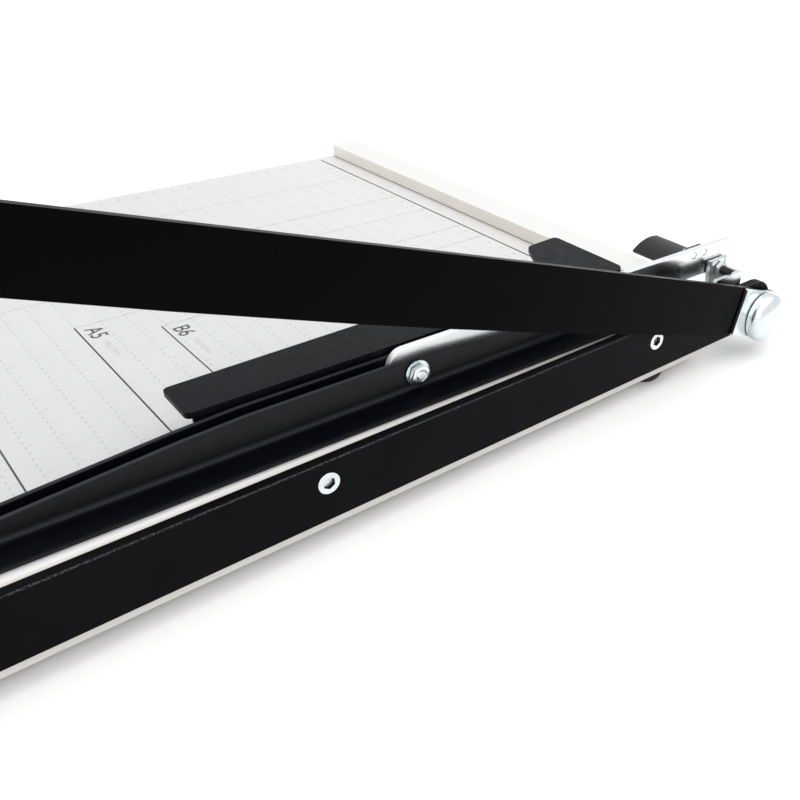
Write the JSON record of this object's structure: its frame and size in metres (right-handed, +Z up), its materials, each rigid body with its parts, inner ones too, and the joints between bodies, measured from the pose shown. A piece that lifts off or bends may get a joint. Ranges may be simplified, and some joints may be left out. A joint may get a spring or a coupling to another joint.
{
  "type": "guillotine paper cutter",
  "caption": "desk paper cutter with a shallow tray table, rear fence, long hand-lowered blade arm and a hinged bar that clamps the sheets along the cut",
  "frame": {"origin": "middle of the outline on the desk, at the soles of the feet", "axes": "+Z up; +Y to the rear, from the grip towards the fence and the blade's pivot; +X to the right, towards the blade"},
  "size_m": [0.3222, 0.5328, 0.2115],
  "materials": {
    "tray_paint": "ivory paint, semi-gloss; printed size lines on the top",
    "fence_paint": "beige and white paint, semi-gloss",
    "blade_black": "matte black with a bright ground cutting edge",
    "arm_black": "satin black",
    "clamp_black": "satin black, slightly blue",
    "bright_zinc": "bright zinc plate",
    "plain_steel": "plain steel",
    "black_bolt": "black oxide",
    "rubber": "black rubber, matte",
    "grip_plastic": "black moulded plastic, satin"
  },
  "bodies": {
    "table": {"base_tray": "tray_paint", "fence": "fence_paint", "fixed_blade": "blade_black", "hinge_bracket": "bright_zinc", "hinge_bolt": "black_bolt", "hinge_nut": "plain_steel", "pivot_spring": "plain_steel", "tray_brace_1": "tray_paint", "tray_brace_2": "tray_paint", "fence_screw_1": "plain_steel", "fence_screw_2": "plain_steel", "fence_screw_3": "plain_steel", "fixed_blade_screw_1": "bright_zinc", "fixed_blade_screw_2": "bright_zinc", "fixed_blade_screw_3": "bright_zinc", "fixed_blade_nut_1": "plain_steel", "fixed_blade_nut_2": "plain_steel", "fixed_blade_nut_3": "plain_steel", "rubber_foot_1": "rubber", "rubber_foot_2": "rubber", "rubber_foot_3": "rubber", "rubber_foot_4": "rubber", "foot_screw_1": "plain_steel", "foot_screw_2": "plain_steel", "foot_screw_3": "plain_steel", "foot_screw_4": "plain_steel", "bracket_screw_1": "bright_zinc", "bracket_screw_2": "bright_zinc", "pivot_washer_1": "bright_zinc", "pivot_washer_2": "bright_zinc"},
    "blade_arm": {"cutting_arm": "arm_black", "pivot_plate": "bright_zinc", "pivot_bolt": "bright_zinc", "pivot_nut": "bright_zinc", "grip": "grip_plastic", "grip_screw_1": "plain_steel", "grip_screw_2": "plain_steel"},
    "press_lever": {"clamp_lever": "bright_zinc", "press_plate": "clamp_black", "lift_tab": "clamp_black", "press_rivet_1": "bright_zinc", "press_rivet_2": "bright_zinc", "tab_rivet_1": "bright_zinc", "tab_rivet_2": "bright_zinc"},
    "paper_clamp": {"clamp_bar": "clamp_black", "clamp_pad": "rubber", "clamp_bolt": "bright_zinc", "clamp_washer": "bright_zinc", "clamp_nut": "bright_zinc"}
  },
  "joints": [
    {"name": "arm_swing", "type": "hinge", "parent": "table", "child": "blade_arm", "pos_m": [0.14485, 0.24405, 0.0205], "axis": [-1, 0, 0], "range_deg": [-19.2, 50]},
    {"name": "clamp_lift", "type": "hinge", "parent": "table", "child": "press_lever", "pos_m": [0.12705, 0.23205, 0.0415], "axis": [-0.9998, 0.0192, 0], "range_deg": [0, 7]},
    {"name": "clamp_tilt", "type": "hinge", "parent": "press_lever", "child": "paper_clamp", "pos_m": [0.12377, 0.06088, 0.0448], "axis": [-0.9998, 0.0192, 0], "range_deg": [-0.65, 0]}
  ],
  "couplings": [
    {"joint": "clamp_tilt", "follows": "clamp_lift", "ratio": -0.0857}
  ]
}
